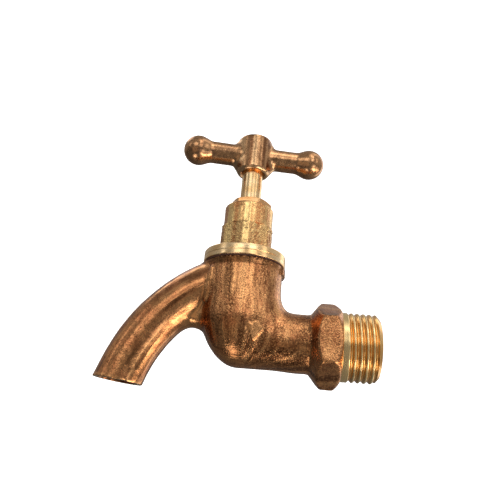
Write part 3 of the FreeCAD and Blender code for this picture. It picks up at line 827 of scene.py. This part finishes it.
def tee_handle(cast):
    low, high = HANDLE_LOW - 0.5, HANDLE_HIGH + 0.5
    points, faces = surface_net(handle_distance, low, high, HANDLE_STEP)
    points = settle(handle_distance, points, HANDLE_STEP)
    normals = slope(handle_distance, points)
    u, v, w = handle_axes(points)
    lip = (w < BOSS_BOTTOM_Z - HANDLE_Z + COUNTERSINK_DEPTH) & (np.hypot(u, v) < BOSS_R)
    outside = (np.abs(handle_skin(points)) < ON_SKIN) & ~lip
    rough = np.where(outside, HANDLE_ROUGH, 0.0)
    points = points + normals * (layered_noise(points, CAST_LAYERS) * rough)[:, None]
    worn = sharpness(handle_skin, points, normals, HANDLE_EDGE_REACH)
    attributes = {
        "hollow": hollowness(handle_skin, points, normals, HANDLE_HOLLOW_REACH) * outside,
        "edge": np.where(lip, 0.5, worn * outside),
        "inside": np.where(outside | lip, 0.0, 1.0),
        "streak": drum_bands(u, v) * (np.hypot(u, v) < BOSS_R + 0.4) * outside,
        "grit": np.full(len(points), HANDLE_GRIT),
    }
    return new_piece("tee_handle_casting", points, faces, [cast], attributes=attributes)


# ------------------------------------------------------------------ materials
class Nodes:
    """A material's node tree, with short calls for the nodes used here."""

    def __init__(self, name):
        self.material = bpy.data.materials.new(name)
        self.material.use_nodes = True
        self.tree = self.material.node_tree
        self.shader = self.tree.nodes["Principled BSDF"]
        self.place = self.add("ShaderNodeTexCoord").outputs["Object"]

    def add(self, kind, **settings):
        node = self.tree.nodes.new(kind)
        for key, value in settings.items():
            setattr(node, key, value)
        return node

    def feed(self, socket, value):
        if isinstance(value, bpy.types.NodeSocket):
            self.tree.links.new(value, socket)
        else:
            socket.default_value = value

    def scaled(self, scale_per_mm, turn=(0, 0, 0)):
        """Object coordinates in millimetres, stretched along each axis."""
        node = self.add("ShaderNodeMapping")
        self.feed(node.inputs["Vector"], self.place)
        node.inputs["Scale"].default_value = [s / MM for s in scale_per_mm]
        node.inputs["Rotation"].default_value = turn
        return node.outputs["Vector"]

    def noise(
        self, size_mm, detail=3.0, roughness=0.55, stretch=(1, 1, 1), distortion=0.0, turn=(0, 0, 0)
    ):
        node = self.add("ShaderNodeTexNoise")
        self.feed(node.inputs["Vector"], self.scaled([s / size_mm for s in stretch], turn))
        node.inputs["Scale"].default_value = 1.0
        node.inputs["Detail"].default_value = detail
        node.inputs["Roughness"].default_value = roughness
        node.inputs["Distortion"].default_value = distortion
        return node.outputs["Fac"]

    def steps(self, fac, stops):
        """A colour ramp from (position, colour) stops."""
        node = self.add("ShaderNodeValToRGB")
        ramp = node.color_ramp
        while len(ramp.elements) < len(stops):
            ramp.elements.new(0.5)
        for element, (position, colour) in zip(ramp.elements, stops):
            element.position = position
            element.color = (*colour, 1)
        self.feed(node.inputs["Fac"], fac)
        return node.outputs["Color"]

    def span(self, value, low, high, to_low=0.0, to_high=1.0):
        node = self.add("ShaderNodeMapRange")
        ends = {"From Min": low, "From Max": high, "To Min": to_low, "To Max": to_high}
        for key, number in ends.items():
            node.inputs[key].default_value = number
        self.feed(node.inputs["Value"], value)
        return node.outputs["Result"]

    def mixed(self, fac, a, b):
        node = self.add("ShaderNodeMix", data_type="RGBA")
        self.feed(node.inputs["Factor"], fac)
        self.feed(node.inputs["A"], a if isinstance(a, bpy.types.NodeSocket) else (*a, 1))
        self.feed(node.inputs["B"], b if isinstance(b, bpy.types.NodeSocket) else (*b, 1))
        return node.outputs["Result"]

    def maths(self, operation, a, b=0.0):
        node = self.add("ShaderNodeMath", operation=operation)
        self.feed(node.inputs[0], a)
        self.feed(node.inputs[1], b)
        return node.outputs[0]

    def attribute(self, name):
        return self.add("ShaderNodeAttribute", attribute_name=name).outputs["Fac"]

    def bumped(self, height, distance_mm, normal=None, strength=1.0):
        node = self.add("ShaderNodeBump")
        self.feed(node.inputs["Strength"], strength)
        node.inputs["Distance"].default_value = distance_mm * MM
        self.feed(node.inputs["Height"], height)
        if normal is not None:
            self.feed(node.inputs["Normal"], normal)
        return node.outputs["Normal"]

    def finish(self, colour, roughness, normal, metallic=1.0):
        self.feed(self.shader.inputs["Base Color"], colour)
        self.feed(self.shader.inputs["Roughness"], roughness)
        self.shader.inputs["Metallic"].default_value = metallic
        self.feed(self.shader.inputs["Normal"], normal)
        return self.material


# The bright colour also paints highlights in the body's tone spots; the tarnish and soot browns
# also paint shade, in those spots and under the bonnet's flange.
COPPER = (0.62, 0.235, 0.095)
BRONZE = (0.66, 0.30, 0.12)
BRIGHT = (0.94, 0.47, 0.19)
TARNISH_AND_SHADE = (0.17, 0.062, 0.024)
SOOT_AND_SHADE = (0.06, 0.022, 0.010)
CREAM = (1.0, 0.80, 0.42)
HANDLE_BROWN = (0.47, 0.24, 0.12)
HANDLE_TAN = (0.60, 0.32, 0.15)
HANDLE_BRIGHT = (0.90, 0.56, 0.29)
BONNET_RED = (0.72, 0.33, 0.13)
BONNET_GOLD = (0.95, 0.57, 0.23)
BONNET_BRIGHT = (1.0, 0.70, 0.30)
BONNET_SHADE = (0.55, 0.22, 0.08)


def cast_bronze(
    name, palette=(COPPER, BRONZE, COPPER), grain=1.0, dirt=1.0, bright=BRIGHT, shade=TARNISH_AND_SHADE
):
    """Tumbled sand casting: patches of its palette with bright grains, brown patina in the corners,
    and painted shadow and painted highlights from the hollow and tone attributes.
    """
    n = Nodes(name)
    patches = n.noise(8.0, 4.0, 0.6, distortion=0.6)
    colour = n.steps(patches, list(zip((0.34, 0.52, 0.68), palette)))
    mottle = n.noise(2.4, 4.0, 0.65)
    colour = n.mixed(n.span(mottle, 0.50, 0.70, 0, 0.6 * dirt), colour, TARNISH_AND_SHADE)
    # tone: on the body, painted shade (below 0) and painted highlight (above 0) along with the
    # skin's uneven tone; on the bonnet, the darker rough hexagon
    tone = n.attribute("tone")
    colour = n.mixed(n.span(tone, 0.0, -1.2, 0, 0.95), colour, TARNISH_AND_SHADE)
    colour = n.mixed(n.span(tone, 0.0, 1.0, 0, 0.75), colour, bright)
    streak = n.attribute("streak")
    colour = n.mixed(n.span(streak, 0.0, -0.5, 0, 0.8), colour, shade)
    colour = n.mixed(n.span(streak, 0.1, 0.5, 0, 0.7), colour, bright)
    grit = n.attribute("grit")
    speck = n.noise(0.5, 2.0, 0.6)
    bright_grains = n.span(speck, 0.52, 0.62, 0, 0.55)
    colour = n.mixed(n.maths("MULTIPLY", bright_grains, grit), colour, bright)
    dark_grains = n.span(speck, 0.46, 0.36, 0, 0.6 * dirt)
    colour = n.mixed(n.maths("MULTIPLY", dark_grains, grit), colour, TARNISH_AND_SHADE)
    pits = n.noise(0.45, 2.0, 0.6, turn=(0.4, 0.9, 0.2))
    colour = n.mixed(n.span(pits, 0.60, 0.70, 0, 0.8 * dirt), colour, SOOT_AND_SHADE)
    # hollow: dark patina in the corners, and on the body a painted shadow under the bonnet's flange
    colour = n.mixed(n.span(n.attribute("hollow"), 0.12, 0.8, 0, 0.75), colour, SOOT_AND_SHADE)
    colour = n.mixed(n.span(n.attribute("edge"), 0.10, 0.6, 0, 0.7), colour, bright)
    colour = n.mixed(n.maths("MULTIPLY", n.attribute("inside"), 0.7), colour, SOOT_AND_SHADE)
    roughness = n.span(n.noise(1.6, 3.0), 0.3, 0.7, 0.13, 0.30)
    normal = n.bumped(speck, 0.10 * grain, strength=grit)
    normal = n.bumped(n.noise(1.6, 2.0, 0.5), 0.05 * grain, normal)
    normal = n.bumped(streak, 0.05, normal)
    return n.finish(colour, roughness, normal)


def turned_brass(name, along, colour=(1.0, 0.72, 0.40), groove_mm=0.016, spots=0.5):
    """Machined brass with fine tool lines round the axis it was turned on."""
    n = Nodes(name)
    lines = [1.0 if axis == along else 0.02 for axis in range(3)]
    tool = n.noise(0.22, 2.0, 0.6, stretch=lines)
    broad = n.noise(2.4, 3.0, 0.5, stretch=[0.5 if value < 1 else 1.0 for value in lines])
    darker = tuple(c * k for c, k in zip(colour, (0.85, 0.74, 0.6)))
    tone = n.mixed(n.span(broad, 0.35, 0.65), colour, darker)
    tone = n.mixed(n.span(n.noise(0.7, 3.0), 0.62, 0.74, 0, spots), tone, TARNISH_AND_SHADE)
    tone = n.mixed(n.span(n.attribute("edge"), 0.3, 1.0, 0, 0.6), tone, CREAM)
    roughness = n.span(tool, 0.3, 0.7, 0.16, 0.32)
    return n.finish(tone, roughness, n.bumped(tool, groove_mm))


def soft_material(name, colour, roughness, size_mm, depth_mm, metallic=0.0):
    """Rubber, fibre, packing or plain steel: speckled and finely uneven."""
    n = Nodes(name)
    grain = n.noise(size_mm, 4.0, 0.65)
    lighter = tuple(min(1.0, c * 1.5 + 0.01) for c in colour)
    tone = n.mixed(n.span(grain, 0.4, 0.65), colour, lighter)
    rough = n.span(n.noise(size_mm * 3, 2.0), 0.3, 0.7, roughness - 0.1, roughness + 0.1)
    return n.finish(tone, rough, n.bumped(grain, depth_mm), metallic)


# ------------------------------------------------------------------ stage
CAMERA_PLACE = (-18.85, -158.0, -30.07)
CAMERA_YAW = -0.071
CAMERA_PITCH = 0.361
CAMERA_ROLL = 0.09
CAMERA_LENS = 36.94
FLOOR_Z = -60.0
FLOOR_GLOW = 0.55
BACKDROP_GLOW = 0.95


def camera():
    sy, cy = math.sin(CAMERA_YAW), math.cos(CAMERA_YAW)
    sp, cp = math.sin(CAMERA_PITCH), math.cos(CAMERA_PITCH)
    forward = Vector((sy * cp, cy * cp, sp))
    level = Vector((cy, -sy, 0))
    up = level.cross(forward)
    c, n = math.cos(CAMERA_ROLL), math.sin(CAMERA_ROLL)
    right = level * c + up * n
    top = up * c - level * n
    data = bpy.data.cameras.new("camera")
    data.lens = CAMERA_LENS
    data.sensor_width = 36.0
    data.clip_start, data.clip_end = 0.005, 20.0
    cam = bpy.data.objects.new("camera", data)
    turn = Matrix((right, top, -forward)).transposed().to_4x4()
    cam.matrix_world = Matrix.Translation(Vector(CAMERA_PLACE) * MM) @ turn
    bpy.context.scene.collection.objects.link(cam)
    bpy.context.scene.camera = cam


def stage_mesh(name, points, faces, material):
    """Part of the pale surround: the camera sees it, and it sheds no light on the tap."""
    mesh = bpy.data.meshes.new(name)
    mesh.from_pydata(points, [], faces)
    mesh.materials.append(material)
    mesh.shade_smooth()
    piece = bpy.data.objects.new(name, mesh)
    bpy.context.scene.collection.objects.link(piece)
    piece.visible_glossy = False
    piece.visible_diffuse = False
    piece.visible_shadow = False


def pale(name, strength):
    material = bpy.data.materials.new(name)
    material.use_nodes = True
    shader = material.node_tree.nodes["Principled BSDF"]
    shader.inputs["Base Color"].default_value = (0.9, 0.9, 0.9, 1)
    shader.inputs["Roughness"].default_value = 0.9
    shader.inputs["Emission Color"].default_value = (1, 1, 1, 1)
    shader.inputs["Emission Strength"].default_value = strength
    return material


def floor_and_backdrop():
    reach, rings, around = 3.0, 24, 96
    z = FLOOR_Z * MM
    corners = [(-reach, -reach, z), (reach, -reach, z), (reach, reach, z), (-reach, reach, z)]
    stage_mesh("floor", corners, [(0, 1, 2, 3)], pale("floor_paper", FLOOR_GLOW))
    points = []
    for ring in range(rings + 1):
        lift = math.pi * (ring / rings - 0.5)
        for step in range(around):
            turn = 2 * math.pi * step / around
            flat = reach * math.cos(lift)
            points.append((flat * math.cos(turn), flat * math.sin(turn), reach * math.sin(lift)))
    faces = []
    for ring in range(rings):
        for step in range(around):
            onward = (step + 1) % around
            row, above = ring * around, (ring + 1) * around
            faces.append((row + step, above + step, above + onward, row + onward))
    stage_mesh("backdrop", points, faces, pale("backdrop_paper", BACKDROP_GLOW))


# Soft boxes round the object: azimuth from the front towards the right, elevation, half width
# and half height in degrees, strength, warmth.
SOFT_BOXES = [
    (64.0, -48.0, 18.0, 8.0, 5.5, 0.4),
    (95.0, -29.0, 14.0, 5.5, 4.5, 0.4),
    (-22.0, -20.0, 22.0, 18.0, 0.3, 0.6),
    (45.0, -26.0, 12.0, 7.0, 1.6, 0.0),
    (-52.0, -68.0, 12.0, 9.0, 3.0, 0.3),
    (26.0, 46.0, 9.0, 12.0, 2.4, 0.1),
    (60.0, 66.0, 34.0, 10.0, 0.7, 0.1),
    (-14.0, 20.0, 13.0, 12.0, 1.5, 0.1),
    (24.0, 16.0, 10.0, 11.0, 1.9, 0.1),
    (58.0, 20.0, 5.0, 14.0, 1.5, 0.0),
    (-60.0, 22.0, 5.0, 12.0, 1.1, 0.0),
    (-122.0, 52.0, 16.0, 10.0, 1.4, -0.1),
    (135.0, 10.0, 12.0, 40.0, 1.1, -0.1),
]
AMBIENT_LOW = 0.11
AMBIENT_TOP = 0.22
AMBIENT_RIGHT = 0.18
TOP_SPAN = (-0.15, 0.45)       # of the direction's height
RIGHT_SPAN = (-0.3, 0.7)


class World:
    """The world's node tree: a dim surround with soft boxes added by direction."""

    def __init__(self):
        world = bpy.data.worlds.new("studio")
        world.use_nodes = True
        bpy.context.scene.world = world
        self.tree = world.node_tree
        self.background = self.tree.nodes["Background"]
        self.direction = self.tree.nodes.new("ShaderNodeTexCoord").outputs["Generated"]

    def vector(self, operation, a, b):
        node = self.tree.nodes.new("ShaderNodeVectorMath")
        node.operation = operation
        self.tree.links.new(a, node.inputs[0])
        if isinstance(b, bpy.types.NodeSocket):
            self.tree.links.new(b, node.inputs[1])
        else:
            node.inputs[1].default_value = b
        return node

    def soft(self, value, start, end):
        node = self.tree.nodes.new("ShaderNodeMapRange")
        node.interpolation_type = "SMOOTHSTEP"
        node.inputs["From Min"].default_value = start
        node.inputs["From Max"].default_value = end
        self.tree.links.new(value, node.inputs["Value"])
        return node.outputs["Result"]

    def maths(self, operation, a, b):
        node = self.tree.nodes.new("ShaderNodeMath")
        node.operation = operation
        for socket, value in zip(node.inputs, (a, b)):
            if isinstance(value, bpy.types.NodeSocket):
                self.tree.links.new(value, socket)
            else:
                socket.default_value = value
        return node.outputs[0]

    def soft_box(self, azimuth, elevation, half_width, half_height):
        """1 inside a rounded box of directions, 0 outside it."""
        a, e = math.radians(azimuth), math.radians(elevation)
        facing = Vector((math.sin(a) * math.cos(e), -math.cos(a) * math.cos(e), math.sin(e)))
        across = Vector((math.cos(a), math.sin(a), 0))
        upward = across.cross(facing) * -1
        ahead = self.vector("DOT_PRODUCT", self.direction, facing).outputs["Value"]
        mask = self.soft(ahead, 0.0, 0.2)
        for axis, half in ((across, half_width), (upward, half_height)):
            edge = math.sin(math.radians(half))
            reach = self.vector("DOT_PRODUCT", self.direction, axis).outputs["Value"]
            reach = self.maths("ABSOLUTE", reach, 0.0)
            mask = self.maths("MULTIPLY", mask, self.soft(reach, edge * 1.15, edge * 0.75))
        return mask

    def coloured(self, mask, colour, strength):
        node = self.tree.nodes.new("ShaderNodeCombineXYZ")
        for socket in node.inputs:
            self.tree.links.new(mask, socket)
        light = tuple(c * strength for c in colour)
        return self.vector("MULTIPLY", node.outputs[0], light).outputs["Vector"]


def studio():
    world = World()
    split = world.tree.nodes.new("ShaderNodeSeparateXYZ")
    world.tree.links.new(world.direction, split.inputs[0])
    white = (1, 1, 1)
    lift = world.coloured(world.soft(split.outputs["Z"], *TOP_SPAN), white, AMBIENT_TOP)
    aside = world.coloured(world.soft(split.outputs["X"], *RIGHT_SPAN), white, AMBIENT_RIGHT)
    light = world.vector("ADD", lift, aside).outputs["Vector"]
    light = world.vector("ADD", light, (AMBIENT_LOW,) * 3).outputs["Vector"]
    for azimuth, elevation, half_width, half_height, strength, warmth in SOFT_BOXES:
        mask = world.soft_box(azimuth, elevation, half_width, half_height)
        colour = (1.0, 1.0 - 0.3 * warmth, 1.0 - 0.6 * warmth)
        box = world.coloured(mask, colour, strength)
        light = world.vector("ADD", light, box).outputs["Vector"]
    world.tree.links.new(light, world.background.inputs["Color"])
    bpy.context.scene.view_settings.view_transform = "Standard"


# ------------------------------------------------------------------ assembly
def place(piece, body, node, slot):
    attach(piece, body)
    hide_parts(node)


def main():
    bronze = cast_bronze("cast_bronze")
    handle_bronze = cast_bronze(
        "handle_bronze", (HANDLE_BROWN, HANDLE_TAN, HANDLE_BROWN), grain=0.8, bright=HANDLE_BRIGHT
    )
    bonnet_bronze = cast_bronze(
        "bonnet_bronze", (BONNET_RED, BONNET_GOLD, BONNET_GOLD), grain=1.5, dirt=0.5,
        bright=BONNET_BRIGHT, shade=BONNET_SHADE,
    )
    upright_brass = turned_brass("turned_brass_upright", along=2)
    gland_brass = turned_brass("turned_brass_gland", along=2, colour=(0.82, 0.46, 0.21))
    stem_brass = turned_brass("polished_brass_stem", along=2, groove_mm=0.005, spots=0.15)
    inlet_brass = turned_brass("turned_brass_inlet", along=0, colour=(0.95, 0.56, 0.20))
    place(tap_body(bronze, upright_brass), "tap", "tap_body", "cast_bronze")
    place(inlet_thread(inlet_brass), "tap", "tap_body", "turned_brass")
    place(bonnet(bonnet_bronze, upright_brass), "tap", "bonnet", "cast_bronze")
    place(gland_nut(gland_brass), "tap", "gland_nut", "turned_brass")
    place(spindle(stem_brass), "headgear", "spindle", "turned_brass")
    place(tee_handle(handle_bronze), "headgear", "tee_handle", "cast_bronze")
    rubber = soft_material("rubber", (0.03, 0.03, 0.03), 0.6, 0.5, 0.01)
    fibre = soft_material("brown_fibre", (0.07, 0.025, 0.014), 0.7, 0.3, 0.02)
    packing = soft_material("graphited_packing", (0.04, 0.04, 0.045), 0.55, 0.4, 0.04)
    steel = soft_material("plain_steel", (0.35, 0.35, 0.36), 0.4, 0.4, 0.008, 1.0)
    finishes = {
        "bonnet_washer": fibre,
        "packing_ring_1": packing,
        "packing_ring_2": packing,
        "gland_washer": upright_brass,
        "jumper_valve": upright_brass,
        "tap_washer": rubber,
        "washer_nut": upright_brass,
        "handle_screw": steel,
    }
    for node, material in finishes.items():
        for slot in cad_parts[node].material_slots:
            slot.material = material


main()
floor_and_backdrop()
studio()
camera()
